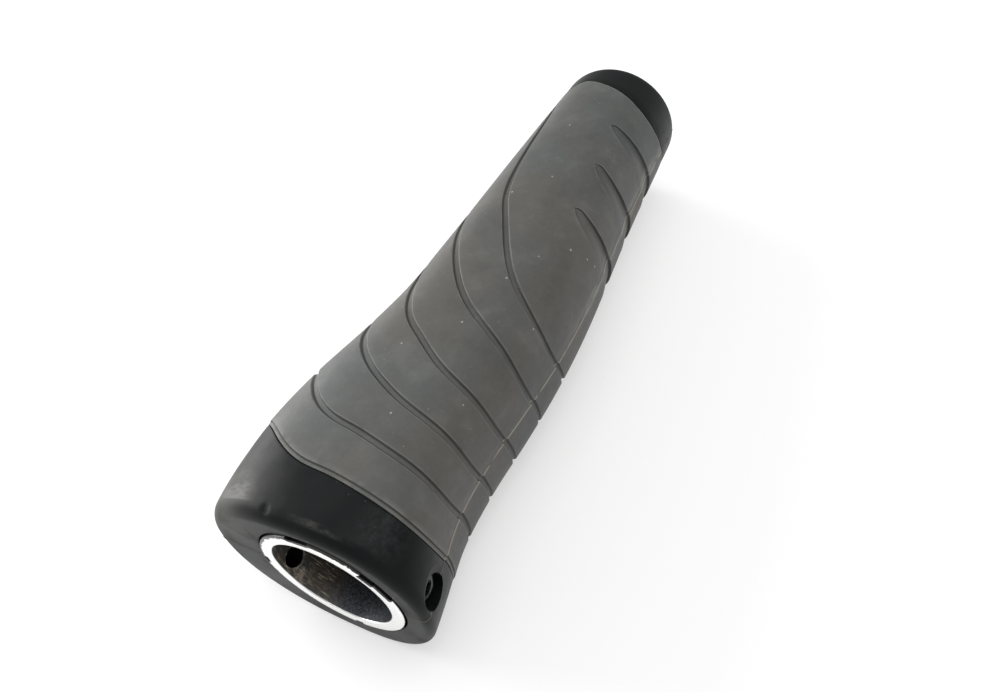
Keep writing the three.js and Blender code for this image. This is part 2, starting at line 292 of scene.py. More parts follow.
def combine(piece, tool, operation):
    """Cuts one mesh out of another, or joins it on, and deletes the tool."""
    select_only(piece)
    boolean = piece.modifiers.new("combine", "BOOLEAN")
    boolean.operation = operation
    boolean.solver = "EXACT"
    boolean.object = tool
    bpy.ops.object.modifier_apply(modifier=boolean.name)
    bpy.data.objects.remove(tool, do_unlink=True)


def outward(angle):
    return Vector((0, math.cos(math.radians(angle)), math.sin(math.radians(angle))))


def radial_rod(radius, across, inner, outer, along, angle, lean=0, vertices=64):
    """A rod that stands out from the bar's axis: round, or oval and leaning along the grip."""
    turned = Matrix.Rotation(math.radians(angle - 90), 3, "X")
    turned = turned @ Matrix.Rotation(math.radians(lean), 3, "Z")
    bpy.ops.object.select_all(action="DESELECT")
    bpy.ops.mesh.primitive_cylinder_add(
        vertices=vertices,
        radius=1,
        depth=1,
        location=Vector((along, 0, 0)) + outward(angle) * (inner + outer) / 2,
        rotation=turned.to_euler(),
        scale=(radius, across, outer - inner),
    )
    return bpy.context.object


def radial_block(width, start, end, inner, outer, angle, rounding):
    """A block with rounded edges that stands out from the bar's axis."""
    bpy.ops.object.select_all(action="DESELECT")
    bpy.ops.mesh.primitive_cube_add(
        size=1,
        location=((start + end) / 2, (inner + outer) / 2, 0),
        scale=(end - start, outer - inner, width),
    )
    bpy.ops.object.transform_apply(location=True, rotation=True, scale=True)
    bpy.ops.object.mode_set(mode="EDIT")
    bpy.ops.mesh.select_all(action="SELECT")
    bpy.ops.mesh.bevel(offset=rounding, segments=2)
    bpy.ops.object.mode_set(mode="OBJECT")
    block = bpy.context.object
    block.rotation_euler = (math.radians(angle), 0, 0)
    bpy.ops.object.transform_apply(location=True, rotation=True, scale=True)
    return block


def shade(piece, angle=35):
    select_only(piece)
    bpy.ops.object.shade_smooth_by_angle(angle=math.radians(angle))


class Value:
    """A socket in a material's nodes, on which sums can be written."""

    def __init__(self, tree, socket):
        self.tree = tree
        self.socket = socket

    def node(self, kind, settings=(), inputs=(), output=0):
        """Adds a node, with its settings first and then values or links, and gives its output."""
        node = self.tree.nodes.new(kind)
        for key, value in dict(settings).items():
            setattr(node, key, value)
        for key, value in dict(inputs).items():
            if isinstance(value, Value):
                self.tree.links.new(value.socket, node.inputs[key])
            else:
                node.inputs[key].default_value = value
        return Value(self.tree, node.outputs[output])

    def math(self, operation, first, second=0.0, clamp=False):
        settings = {"operation": operation, "use_clamp": clamp}
        return self.node("ShaderNodeMath", settings, {0: first, 1: second})

    def __add__(self, other):
        return self.math("ADD", self, other)

    __radd__ = __add__

    def __mul__(self, other):
        return self.math("MULTIPLY", self, other)

    __rmul__ = __mul__

    def __sub__(self, other):
        return self.math("SUBTRACT", self, other)

    def __rsub__(self, other):
        return self.math("SUBTRACT", other, self)

    def __abs__(self):
        return self.math("ABSOLUTE", self)

    def clamped(self):
        return self.math("ADD", self, 0.0, clamp=True)

    def rise(self, low, high):
        """0 below the low value and 1 above the high one, with a smooth rise between."""
        inputs = {"Value": self, "From Min": low, "From Max": high}
        return self.node("ShaderNodeMapRange", {"interpolation_type": "SMOOTHSTEP"}, inputs)

    def mix(self, low, high):
        """A colour between two, by this number; each is a plain colour or one that varies."""
        colours = [end if isinstance(end, Value) else (*end, 1) for end in (low, high)]
        inputs = {0: self, 6: colours[0], 7: colours[1]}
        return self.node("ShaderNodeMix", {"data_type": "RGBA"}, inputs, output=2)

    def scaled(self, x, y, z):
        return self.node("ShaderNodeVectorMath", {"operation": "MULTIPLY"}, {0: self, 1: (x, y, z)})

    def offset(self, x, y, z):
        return self.node("ShaderNodeVectorMath", {"operation": "ADD"}, {0: self, 1: (x, y, z)})

    def length(self):
        return self.node("ShaderNodeVectorMath", {"operation": "LENGTH"}, {0: self}, output=1)

    def axis(self, index):
        return self.node("ShaderNodeSeparateXYZ", (), {0: self}, output=index)


class Finish:
    """A material with one principled shader, on the object's own coordinates."""

    def __init__(self, name, **constants):
        self.material = bpy.data.materials.new(name)
        self.material.use_nodes = True
        tree = self.material.node_tree
        self.shader = tree.nodes["Principled BSDF"]
        for key, value in constants.items():
            self.shader.inputs[key.replace("_", " ")].default_value = value
        self.place = Value(tree, tree.nodes.new("ShaderNodeTexCoord").outputs["Object"])

    def noise(self, scale, detail=2.0, roughness=0.5, vector=None):
        inputs = {"Vector": vector or self.place, "Scale": scale}
        inputs.update({"Detail": detail, "Roughness": roughness})
        return self.place.node("ShaderNodeTexNoise", (), inputs)

    def specks(self, scale, radius, share):
        """Scattered specks: how far apart, how wide, and in what share of the places there is one."""
        inputs = {"Vector": self.place, "Scale": scale}
        distance = self.place.node("ShaderNodeTexVoronoi", (), inputs)
        chance = self.place.node("ShaderNodeTexVoronoi", (), inputs, output=1).axis(0)
        chosen = chance.rise(1 - share, 1.001 - share)
        return (1 - distance.rise(radius * scale * 0.6, radius * scale)) * chosen

    def spot(self, centre, inner, outer):
        """1 within the inner distance of a place and 0 beyond the outer one."""
        inputs = {0: self.place, 1: tuple(np.ravel(centre))}
        distance = self.place.node("ShaderNodeVectorMath", {"operation": "DISTANCE"}, inputs, output=1)
        return 1 - distance.rise(inner, outer)

    def feed(self, socket, value):
        value.tree.links.new(value.socket, self.shader.inputs[socket])

    def bump(self, height, distance, strength=1.0):
        inputs = {"Height": height, "Distance": distance, "Strength": strength}
        self.feed("Normal", self.place.node("ShaderNodeBump", (), inputs))


def gate_sink(along, angle):
    """How deep the gate's scar is."""
    across = surface_radius(along, angle) * np.radians(angle - GATE_ANGLE)
    return GATE_DEPTH * np.exp(-(((along - GATE_ALONG) ** 2 + across**2) / GATE_RADIUS**2) ** 2)


def clamp_face_round(angles):
    """The rounding of the clamp face's outer edge, kept clear of the pocket where the wall is thin."""
    above = (1 + np.sin(np.radians(angles))) / 2
    full = CLAMP_FACE_ROUND_BELOW + (CLAMP_FACE_ROUND_ABOVE - CLAMP_FACE_ROUND_BELOW) * above
    wall = surface_radius(CLAMP_FACE_SET_BACK, angles) - POCKET_RADIUS
    return np.minimum(full, wall - CLAMP_FACE_LAND)


def core_rows(angles):
    """Rows from the pocket's edge over the housing, under the rubber, round the collar and back in."""
    under = RUBBER_WALL + GAP
    rounding = clamp_face_round(angles)
    face = CLAMP_FACE_SET_BACK - flash_lift(angles)
    face_edge = surface_radius(CLAMP_FACE_SET_BACK, angles) - rounding
    rows = [points_at(face + POCKET_CHAMFER, angles, POCKET_RADIUS + 0 * angles)]
    for share in (0, 0.35, 0.7, 1):
        radius = (POCKET_RADIUS + POCKET_CHAMFER) * (1 - share) + face_edge * share
        rows.append(points_at(face, angles, radius))
    for turn in np.radians(np.arange(5, 91, 5)):
        along = face + rounding * (1 - math.cos(turn))
        sunk = rounding * (1 - math.sin(turn)) + HOUSING_STEP * math.sin(turn)
        rows.append(at_surface(along, angles, sunk + gate_sink(along, angles)))
    start = CLAMP_FACE_SET_BACK + rounding
    end = clamp_edge(angles) - SEAM - HOUSING_EDGE_ROUND
    for share in np.arange(1, 20) / 20:
        along = start + (end - start) * share
        rows.append(at_surface(along, angles, HOUSING_STEP + gate_sink(along, angles)))
    for turn in np.radians([0, 30, 60, 90]):
        offset = -SEAM - HOUSING_EDGE_ROUND * (1 - math.sin(turn))
        sunk = HOUSING_STEP + HOUSING_EDGE_ROUND * (1 - math.cos(turn))
        rows.append(beside_line(clamp_edge, angles, offset, sunk))
    rows.append(beside_line(clamp_edge, angles, -SEAM, under))
    for share in np.arange(1, 20) / 20:
        along = clamp_edge(angles) * (1 - share) + inner_edge(angles) * share
        rows.append(at_surface(along, angles, under))
    rows.append(beside_line(inner_edge, angles, SEAM, under))
    for turn in np.radians([90, 60, 30, 0]):
        offset = SEAM + HOUSING_EDGE_ROUND * (1 - math.sin(turn))
        sunk = BAND_STEP + HOUSING_EDGE_ROUND * (1 - math.cos(turn))
        rows.append(beside_line(inner_edge, angles, offset, sunk))
    collar = GRIP_LENGTH - INNER_FACE_ROUND
    end_radius = surface_radius(GRIP_LENGTH, angles)
    for share in (0.3, 0.6, 0.9):
        sunk = BAND_STEP * (1 - share)
        rows.append(at_surface(inner_edge(angles) * (1 - share) + collar * share, angles, sunk))
    for turn in np.radians([0, 30, 60, 90]):
        along = collar + INNER_FACE_ROUND * math.sin(turn)
        rows.append(points_at(along, angles, end_radius - INNER_FACE_ROUND * (1 - math.cos(turn))))
    bore = BAR_RADIUS + 0 * angles
    rows.append(points_at(GRIP_LENGTH, angles, bore + BORE_CHAMFER))
    rows.append(points_at(GRIP_LENGTH - BORE_CHAMFER, angles, bore))
    for share in np.arange(1, 12) / 12:
        rows.append(points_at(GRIP_LENGTH * (1 - share) + POCKET_DEPTH * share, angles, bore))
    rows.append(points_at(POCKET_DEPTH, angles, bore))
    rows.append(points_at(POCKET_DEPTH, angles, POCKET_RADIUS + 0 * angles))
    return rows


core = skin("core_moulding", core_rows(angles_round_grip(CORE_COLUMNS)))

# The well for the screw, and the dish round its mouth
well = radial_rod(
    WELL_LENGTH / 2, WELL_HEIGHT / 2, BAR_RADIUS, 2 * POCKET_RADIUS, SCREW_ALONG, SCREW_ANGLE, WELL_LEAN
)
combine(core, well, "DIFFERENCE")
mouth = Vector((SCREW_ALONG, 0, 0))
mouth += outward(SCREW_ANGLE) * float(surface_radius(SCREW_ALONG, SCREW_ANGLE))
rise = surface_radius(SCREW_ALONG + MM, SCREW_ANGLE) - surface_radius(SCREW_ALONG - MM, SCREW_ANGLE)
facing = (outward(SCREW_ANGLE) - Vector((float(rise) / (2 * MM), 0, 0))).normalized()
sideways = facing.cross(Vector((1, 0, 0))).normalized()
dish_turn = Matrix((sideways.cross(facing), sideways, facing)).transposed()
dish_turn = dish_turn @ Matrix.Rotation(math.radians(WELL_LEAN), 3, "Z")
spread = math.sqrt(1 - (1 - DISH_DEPTH / DISH_CURVE) ** 2)
bpy.ops.object.select_all(action="DESELECT")
bpy.ops.mesh.primitive_uv_sphere_add(
    segments=96,
    ring_count=48,
    radius=1,
    location=mouth + facing * (DISH_CURVE - DISH_DEPTH - HOUSING_STEP),
    rotation=dish_turn.to_euler(),
    scale=(
        (WELL_LENGTH / 2 + DISH_MARGIN) / spread,
        (WELL_HEIGHT / 2 + DISH_MARGIN) / spread,
        DISH_CURVE,
    ),
)
combine(core, bpy.context.object, "DIFFERENCE")

for angle, width, depth in NOTCHES:
    key = radial_block(
        width - 2 * GAP,
        KEY_SET_BACK,
        NOTCH_REACH - GAP,
        RING_RADIUS - depth + GAP,
        POCKET_RADIUS + CLAMP_FACE_LAND,
        angle,
        KEY_ROUND,
    )
    combine(core, key, "UNION")
shade(core)

NYLON = (0.0035, 0.0045, 0.0052)
NYLON_WORN = (0.009, 0.0095, 0.009)
NYLON_PAINTED_SHEEN = (0.13, 0.128, 0.12)
NYLON_DUST = (0.16, 0.165, 0.17)
NYLON_FLASH = (0.2, 0.18, 0.15)
NYLON_FLASH_WIDTH = 0.2 * MM
GATE_PAINTED_SHADE = (0.003, 0.003, 0.003)
GATE_PAINTED_HIGHLIGHT = (0.2, 0.2, 0.2)

# Places of the painted sheen, painted highlights and other marks on the housing: how far along the
# grip, and the angle round it
PAINTED_SHEEN_FROM = 2.35 * MM
PAINTED_SHEEN_AT = (3.1 * MM, 42)
PALM_CORNER_AT = (6 * MM, 42)
SIDE_FACE_AT = (0.8 * MM, 25)
TOP_HIGHLIGHT_AT = (1.7 * MM, 98)
TOP_HIGHLIGHT_ALONG = 2.2 * MM
PALE_PATCH_AT = (6.3 * MM, 126)
GATE_HIGHLIGHT_AT = (GATE_ALONG - 0.25 * MM, GATE_ANGLE + 3)


def flash_mask(finish, width):
    """Where the pale flash line shows: at the parting plane, outside the ring, broken in places."""
    height = abs(finish.place.axis(2))
    line = 1 - height.rise(0.3 * width, width)
    outside = finish.place.scaled(0, 1, 1).length().rise(POCKET_RADIUS, POCKET_RADIUS + 0.2 * MM)
    return line * outside * finish.noise(220, 2).rise(0.32, 0.45)


black = Finish("black_nylon", Specular_IOR_Level=0.12)
cloud = black.noise(70, 4, 0.6)
smudge = black.noise(240, 3, 0.6).rise(0.5, 0.75)
streaks = black.noise(1, 4, 0.65, black.place.scaled(450, 170, 170))
dust = black.specks(700, 0.09 * MM, 0.2)

# Painted sheen: the window light's reflection is painted pale on the palm corner just behind the
# rounding, more faintly over the palm corner and the side face, and as a fainter painted highlight over
# the top.
# A paler patch lies near the rubber
painted_sheen = black.spot(at_surface(*PAINTED_SHEEN_AT, HOUSING_STEP), 0.5 * MM, 5.5 * MM)
painted_sheen = painted_sheen * black.place.axis(0).rise(PAINTED_SHEEN_FROM - 0.15 * MM, PAINTED_SHEEN_FROM + 0.3 * MM)
painted_sheen = painted_sheen * streaks.rise(0.35, 0.65)
palm_corner = black.spot(at_surface(*PALM_CORNER_AT, HOUSING_STEP), 3 * MM, 12 * MM)
palm_corner = palm_corner * cloud.rise(0.25, 0.6)
side_face = black.spot(at_surface(*SIDE_FACE_AT, HOUSING_STEP), 3 * MM, 11 * MM)
side_face = side_face * cloud.rise(0.2, 0.5)
top_highlight = black.spot(at_surface(*TOP_HIGHLIGHT_AT, HOUSING_STEP), 1 * MM, 7 * MM)
top_highlight = top_highlight * (1 - abs(black.place.axis(0) - TOP_HIGHLIGHT_ALONG).rise(0.2 * MM, 0.8 * MM))
top_highlight = top_highlight * streaks.rise(0.4, 0.7)
painted_sheen = (painted_sheen + palm_corner * 0.2 + side_face * 0.42 + top_highlight * 0.4).clamped()
pale_patch_area = black.spot(at_surface(*PALE_PATCH_AT, HOUSING_STEP), 1 * MM, 6 * MM)
pale_patch = pale_patch_area * black.noise(900, 4, 0.7).rise(0.35, 0.8)
# Painted shade darkens the gate's dimple, and a painted highlight sits beside it
gate_shade = black.spot(at_surface(GATE_ALONG, GATE_ANGLE, HOUSING_STEP), 0.5 * MM, 0.9 * MM)
gate_highlight = black.spot(at_surface(*GATE_HIGHLIGHT_AT, HOUSING_STEP), 0.1 * MM, 0.22 * MM)
colour = (cloud * 0.6 + smudge * 0.4).mix(NYLON, NYLON_WORN)
# Painted sheen: the housing is coloured pale where the reflection is painted
colour = painted_sheen.mix(colour, NYLON_PAINTED_SHEEN)
colour = (dust * 0.5 + pale_patch * 0.12).clamped().mix(colour, NYLON_DUST)
colour = (flash_mask(black, NYLON_FLASH_WIDTH) * 0.6).mix(colour, NYLON_FLASH)
colour = (gate_shade * 0.8).mix(colour, GATE_PAINTED_SHADE)
colour = gate_highlight.mix(colour, GATE_PAINTED_HIGHLIGHT)
black.feed("Base Color", colour)
black.feed("Roughness", cloud * 0.3 + smudge * 0.1 + streaks * 0.1 + 0.22)
black.bump(black.noise(2600, 2) + black.noise(300, 2) * 1.5, 0.00002, 0.5)
core.data.materials.append(black.material)
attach(core, "root")
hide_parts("core")

# Rubber sleeve
# Grey rubber moulded over the core in a second shot, with five grooves round it and three
# crescent finger scallops. Its flash line runs on from the core's.

GROOVE_WIDTH = 1.3 * MM
GROOVE_DEPTH = 0.45 * MM
GROOVE_SLOPE = 0.25 * MM
SCALLOP_WIDTH = 6.9 * MM
SCALLOP_DEPTH = 0.6 * MM
SCALLOP_LEAST_WIDTH = 0.12 * MM
SCALLOP_WIDTH_POWER = 0.58
SCALLOP_DEPTH_POWER = 0.35
SCALLOP_FAINT_EDGE = 0.22 * MM
SCALLOP_FADE = 30
SLEEVE_COLUMNS = 360

# How far each groove and each scallop's deep edge lies from the rubber's clamp edge to its inner
# edge, in percent, at the pattern's angles. Past its tips a scallop's line only guides the rows.
GROOVE_PERCENTS = [
    [13.3, 11.4, 9.0, 8.0, 7.6, 7.0, 7.0, 7.1, 7.8, 10.0, 13.9],
    [29.3, 26.2, 21.3, 18.0, 16.0, 14.1, 13.9, 13.9, 15.7, 21.4, 30.6],
    [47.6, 43.9, 36.1, 29.3, 26.1, 22.2, 21.3, 21.3, 23.9, 33.6, 47.5],
    [63.6, 59.0, 51.7, 44.5, 39.0, 33.2, 30.3, 29.8, 33.0, 46.7, 64.2],
    [91.7, 93.2, 89.8, 67.3, 56.6, 44.8, 39.0, 38.2, 44.3, 69.4, 91.2],
]
SCALLOP_PERCENTS = [
    [93.8, 95.7, 95.1, 82.4, 68.6, 64.8, 65.3, 65.2, 67.4, 78.2, 93.4],
    [95.6, 97.2, 96.6, 87.0, 79.0, 77.8, 78.0, 78.3, 80.4, 86.0, 95.3],
    [97.5, 98.4, 97.5, 90.8, 89.1, 89.8, 91.3, 91.4, 93.0, 93.4, 97.4],
]

# The angles of each scallop's two tips. The deep edge hooks round each tip: degrees in from the
# tip, and how far the edge is off its line.
SCALLOP_ENDS = [(124.5, 250), (121.5, 248), (115.5, 244)]
HOOK_DEGREES = [-5, 0, 2.5, 5, 12, 25, 42, 60]
HOOK_OFFSETS = np.array([0, -0.95, -0.1, 0.2, -0.05, -0.4, -0.45, 0]) * MM

# A scallop's two edges: the offset in mm, the share of the edge's depth, and the painted shading,
# which is painted shade along the edges and a painted highlight beside them. Where the scallop is
# narrower than its full profile, the offsets are squeezed together.
SCALLOP_FAINT_SIDE = [(-0.14, 0, -0.3), (-0.02, 0.1, 0.5), (0.08, 0.5, 1), (0.34, 1, 1), (0.52, 1, 0.3)]
SCALLOP_DEEP_SIDE = [(-0.3, 1, 0.2), (-0.17, 1, 0.9), (-0.07, 0.9, 1), (0, 0.35, 0.7)]
SCALLOP_DEEP_SIDE += [(0.07, 0.05, -0.3), (0.17, 0, -0.6), (0.3, 0, 0)]
SCALLOP_FULL_PROFILE = 1.1 * MM

# The rubber's two edges, in mm from their seams: how far off, how deep, and the painted shading,
# which is painted shade in the seams and in the crease at the step, and painted highlights on the
# lip and the rounding. Beside the housing it has a narrow lip, level with the housing, and then a
# step up.
CLAMP_EDGE_PROFILE = [
    (0.06, 0.32, 0.8),
    (0.1, 0.22, -0.2),
    (0.2, 0.19, -0.3),
    (0.45, 0.18, -0.2),
    (0.62, 0.19, 0),
    (0.69, 0.25, 1),
    (0.82, 0.23, 1),
    (0.88, 0.07, 0.3),
    (0.97, 0.01, -0.7),
    (1.1, 0, -0.3),
]
INNER_EDGE_PROFILE = [
    (0.6, 0, 0),
    (0.42, 0, -0.3),
    (0.2, 0.02, -0.8),
    (0.1, 0.08, -0.4),
    (0.06, 0.2, 0.6),
]

# How many flat rows lie between each line and the next, and how far the lines' own rows reach
BAND_ROWS = [8, 9, 10, 10, 12, 14, 8, 8, 8]
CLAMP_EDGE_REACH = 1.15 * MM
GROOVE_REACH = 0.9 * MM
SCALLOP_REACH_BEFORE = 0.2 * MM
SCALLOP_REACH_AFTER = 0.36 * MM
INNER_EDGE_REACH = 0.65 * MM
ROW_MARGIN = 0.06 * MM


def line_across_sleeve(percents):
    """A line round the grip that lies between the rubber's two edges, by percents of the way."""
    share = curve_around(np.array(percents) / 100)

    def line(angle):
        start = clamp_edge(angle)
        return start + (inner_edge(angle) - start) * share(angle)

    return line


groove_lines = [line_across_sleeve(percents) for percents in GROOVE_PERCENTS]
scallop_lines = [line_across_sleeve(percents) for percents in SCALLOP_PERCENTS]


# Painted shading runs from -1, a painted highlight on an edge, to 1, painted shade in a corner
def groove_rows(line, angles):
    """Rows across a groove, with the painted shading at each: painted shade down its walls and painted
    highlights on its lips.
    """
    edge = GROOVE_WIDTH / 2
    floor = edge - GROOVE_SLOPE
    side = [
        (edge + 0.22 * MM, 0, 0),
        (edge + 0.08 * MM, 0.005 * MM, -0.5),
        (edge, 0.05 * MM, 0),
        (edge - GROOVE_SLOPE * 0.4, GROOVE_DEPTH * 0.45, 0.8),
        (edge - GROOVE_SLOPE * 0.75, GROOVE_DEPTH * 0.9, 1),
        (floor, GROOVE_DEPTH, 0.8),
        (floor - 0.14 * MM, GROOVE_DEPTH, 0.1),
    ]
    rows = [(beside_line(line, angles, -offset, depth), painted_shading) for offset, depth, painted_shading in side]
    rows.append((beside_line(line, angles, 0, GROOVE_DEPTH), 0))
    rows += [(beside_line(line, angles, offset, depth), painted_shading) for offset, depth, painted_shading in reversed(side)]
    return rows


def scallop_edges(ends, angles):
    """A scallop at each angle: degrees in from its nearer tip, how far round its arch, how far its
    two edges are off its line, and how much its profile is squeezed between them."""
    start, end = ends
    from_tip = np.minimum(angles - start, end - angles)
    arch = np.sin(math.pi * np.clip((angles - start) / (end - start), 0, 1))
    deep_edge = np.interp(from_tip, HOOK_DEGREES, HOOK_OFFSETS)
    faint_edge = np.minimum(-SCALLOP_WIDTH * arch**SCALLOP_WIDTH_POWER, deep_edge - SCALLOP_LEAST_WIDTH)
    squeeze = np.clip((deep_edge - faint_edge) / SCALLOP_FULL_PROFILE, 0, 1)
    return from_tip, arch, deep_edge, faint_edge, squeeze


def scallop_rows(line, ends, angles):
    """Rows across a scallop: a faint edge that fades from its tips, a slope and a deep edge."""
    from_tip, arch, deep_edge, faint_edge, squeeze = scallop_edges(ends, angles)
    present = np.clip(from_tip, 0, 1)
    at_tip = present * np.clip(1 - from_tip / SCALLOP_FADE, 0, 1)
    faint = SCALLOP_FAINT_EDGE * at_tip
    depth = SCALLOP_DEPTH * arch**SCALLOP_DEPTH_POWER * present
    rows = []
    for offset, share, painted_shading in SCALLOP_FAINT_SIDE:
        off_line = faint_edge + offset * MM * squeeze
        rows.append((beside_line(line, angles, off_line, share * faint), painted_shading * at_tip))
    slope_start = faint_edge + SCALLOP_FAINT_SIDE[-1][0] * MM * squeeze
    slope_end = deep_edge + SCALLOP_DEEP_SIDE[0][0] * MM * squeeze
    for share in (0.15, 0.3, 0.45, 0.6, 0.75, 0.9):
        fall = share * share * (3 - 2 * share)
        off_line = slope_start + (slope_end - slope_start) * share
        painted_shading = 0.3 * at_tip * (1 - share) + 0.15 * share * present
        rows.append((beside_line(line, angles, off_line, faint + (depth - faint) * fall), painted_shading))
    for offset, share, painted_shading in SCALLOP_DEEP_SIDE:
        off_line = deep_edge + offset * MM * squeeze
        rows.append((beside_line(line, angles, off_line, depth * share), painted_shading * present))
    return rows


def place_beside(line, angles, offset):
    """Places along the grip that are squarely off a line by about an offset."""
    run = surface_radius(line(angles), angles) * math.radians(2)
    rise = line(angles + 1) - line(angles - 1)
    return line(angles) + offset * np.hypot(run, rise) / run + HALVES_SHIFT * below_parting(angles)


def sleeve_rows(angles):
    """Rows from the clamp edge over the outside to the inner edge and back under, with painted shading.
    """
    lines = [clamp_edge, *groove_lines, *scallop_lines, inner_edge]
    reaches = [(0, CLAMP_EDGE_REACH)] + [(GROOVE_REACH, GROOVE_REACH)] * len(groove_lines)
    for ends in SCALLOP_ENDS:
        _, _, deep_edge, faint_edge, squeeze = scallop_edges(ends, angles)
        reach_before = SCALLOP_REACH_BEFORE * squeeze - faint_edge + ROW_MARGIN
        reach_after = SCALLOP_REACH_AFTER * squeeze + deep_edge + ROW_MARGIN
        reaches.append((reach_before, reach_after))
    reaches.append((INNER_EDGE_REACH, 0))
    # The rubber's hidden edge in the seam gets full painted shade
    rows = [(beside_line(clamp_edge, angles, SEAM, RUBBER_WALL), 1)]
    for offset, sunk, painted_shading in CLAMP_EDGE_PROFILE:
        rows.append((beside_line(clamp_edge, angles, offset * MM, sunk * MM), painted_shading))
    for band, count in enumerate(BAND_ROWS):
        start = place_beside(lines[band], angles, reaches[band][1])
        end = place_beside(lines[band + 1], angles, -reaches[band + 1][0])
        for share in np.arange(1, count + 1) / (count + 1):
            rows.append((at_surface(start + (end - start) * share, angles, 0), 0))
        scallop = band - len(groove_lines)
        if scallop < 0:
            rows += groove_rows(groove_lines[band], angles)
        elif scallop < len(scallop_lines):
            rows += scallop_rows(scallop_lines[scallop], SCALLOP_ENDS[scallop], angles)
    for offset, sunk, painted_shading in INNER_EDGE_PROFILE:
        rows.append((beside_line(inner_edge, angles, -offset * MM, sunk * MM), painted_shading))
    rows.append((beside_line(inner_edge, angles, -SEAM, RUBBER_WALL), 1))
    for share in np.arange(19, 0, -1) / 20:
        along = clamp_edge(angles) * (1 - share) + inner_edge(angles) * share
        rows.append((at_surface(along, angles, RUBBER_WALL), 0))
    return rows


sleeve_angles = angles_round_grip(SLEEVE_COLUMNS)
rows_and_shadings = sleeve_rows(sleeve_angles)
rows = [row for row, _ in rows_and_shadings]
painted_shadings = [painted_shading + 0 * sleeve_angles for _, painted_shading in rows_and_shadings]
sleeve = skin("sleeve_rubber", rows, painted_shadings)
shade(sleeve, 50)

RUBBER_COOL = (0.086, 0.094, 0.093)
RUBBER_WARM = (0.104, 0.098, 0.088)
RUBBER_SOIL_AND_SHADE = (0.026, 0.026, 0.025)
RUBBER_PALE = (0.21, 0.21, 0.2)
RUBBER_DUST = (0.34, 0.34, 0.32)
RUBBER_FLASH = (0.34, 0.31, 0.25)
RUBBER_FLASH_WIDTH = 0.36 * MM

# Grains of dust: place along the grip, angle round it and radius, in mm
LARGE_SPECKS = [
    (73, 136, 0.35),
    (75, 150, 0.32),
    (76.5, 160, 0.34),
    (59, 111, 0.3),
    (83, 76, 0.34),
    (98, 125, 0.3),
    (46, 102, 0.28),
    (67, 121, 0.22),
    (90, 98, 0.24),
    (31, 128, 0.22),
    (24, 96, 0.25),
    (52, 140, 0.24),
    (109, 84, 0.26),
    (38, 75, 0.24),
]

rubber = Finish("grey_rubber", Specular_IOR_Level=0.3)
patches = rubber.noise(40, 3, 0.55)
mottle = rubber.noise(700, 4, 0.7)
painted_shading = rubber.place.node("ShaderNodeAttribute", {"attribute_name": "painted_shading"}, output=2)
colour = (patches.rise(0.32, 0.68) * 0.8 + mottle * 0.2).mix(RUBBER_COOL, RUBBER_WARM)
colour = ((mottle - 0.5) * 0.5 + 0.1).clamped().mix(colour, RUBBER_SOIL_AND_SHADE)

# Scuffs lie just above the flash line on the finger side, most of them towards the inner end
near_flash = 1 - abs(rubber.place.axis(2) - 0.6 * MM).rise(0.6 * MM, 3 * MM)
near_flash = near_flash * rubber.place.axis(1).rise(2 * MM, -2 * MM)
far_part = rubber.place.axis(0).rise(55 * MM, 80 * MM)
scuff = near_flash * rubber.noise(1, 4, 0.75, rubber.place.scaled(90, 380, 380)).rise(0.4, 0.62)
colour = (scuff * (far_part * 0.85 + 0.15)).mix(colour, RUBBER_PALE)
blotches = rubber.noise(130, 3, 0.6)
colour = (blotches.rise(0.5, 0.72) * 0.18 + mottle.rise(0.55, 0.75) * 0.2).mix(colour, RUBBER_PALE)
colour = (blotches.rise(0.5, 0.3) * 0.18).mix(colour, RUBBER_SOIL_AND_SHADE)
colour = (rubber.specks(620, 0.11 * MM, 0.2) * 0.7).mix(colour, RUBBER_DUST)
for along, angle, radius in LARGE_SPECKS:
    speck = rubber.spot(at_surface(along * MM, angle, 0), radius * MM * 0.4, radius * MM)
    colour = (speck * 0.9).mix(colour, RUBBER_DUST)
colour = (flash_mask(rubber, RUBBER_FLASH_WIDTH) * 0.9).mix(colour, RUBBER_FLASH)
# Painted shade in the grooves, creases, scallop edges and seams, and painted highlights, broken up by
# noise, on the lips and edges
colour = (painted_shading * 0.75).clamped().mix(colour, RUBBER_SOIL_AND_SHADE)
colour = (painted_shading * -1 * rubber.noise(400, 2).rise(0.3, 0.55)).clamped().mix(colour, RUBBER_PALE)
rubber.feed("Base Color", colour)
rubber.feed("Roughness", mottle * 0.15 + 0.48)
rubber.bump(rubber.noise(3500, 3, 0.6) + rubber.noise(500, 2), 0.00003, 0.6)
sleeve.data.materials.append(rubber.material)
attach(sleeve, "root")
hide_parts("rubber_sleeve")

# Clamp ring
# Turned from aluminium bar and pressed into the core's pocket, where the moulding's keys fill its
# notches. The screw runs through its wall, and a cross hole is drilled on the far side.

RING_WIDTH = 8.6 * MM
RING_EDGE = 0.22 * MM
THREAD_RADIUS = 2.5 * MM
CROSS_HOLE_RADIUS = 2 * MM
CROSS_HOLE_ALONG = 3 * MM
CROSS_HOLE_ANGLE = -16

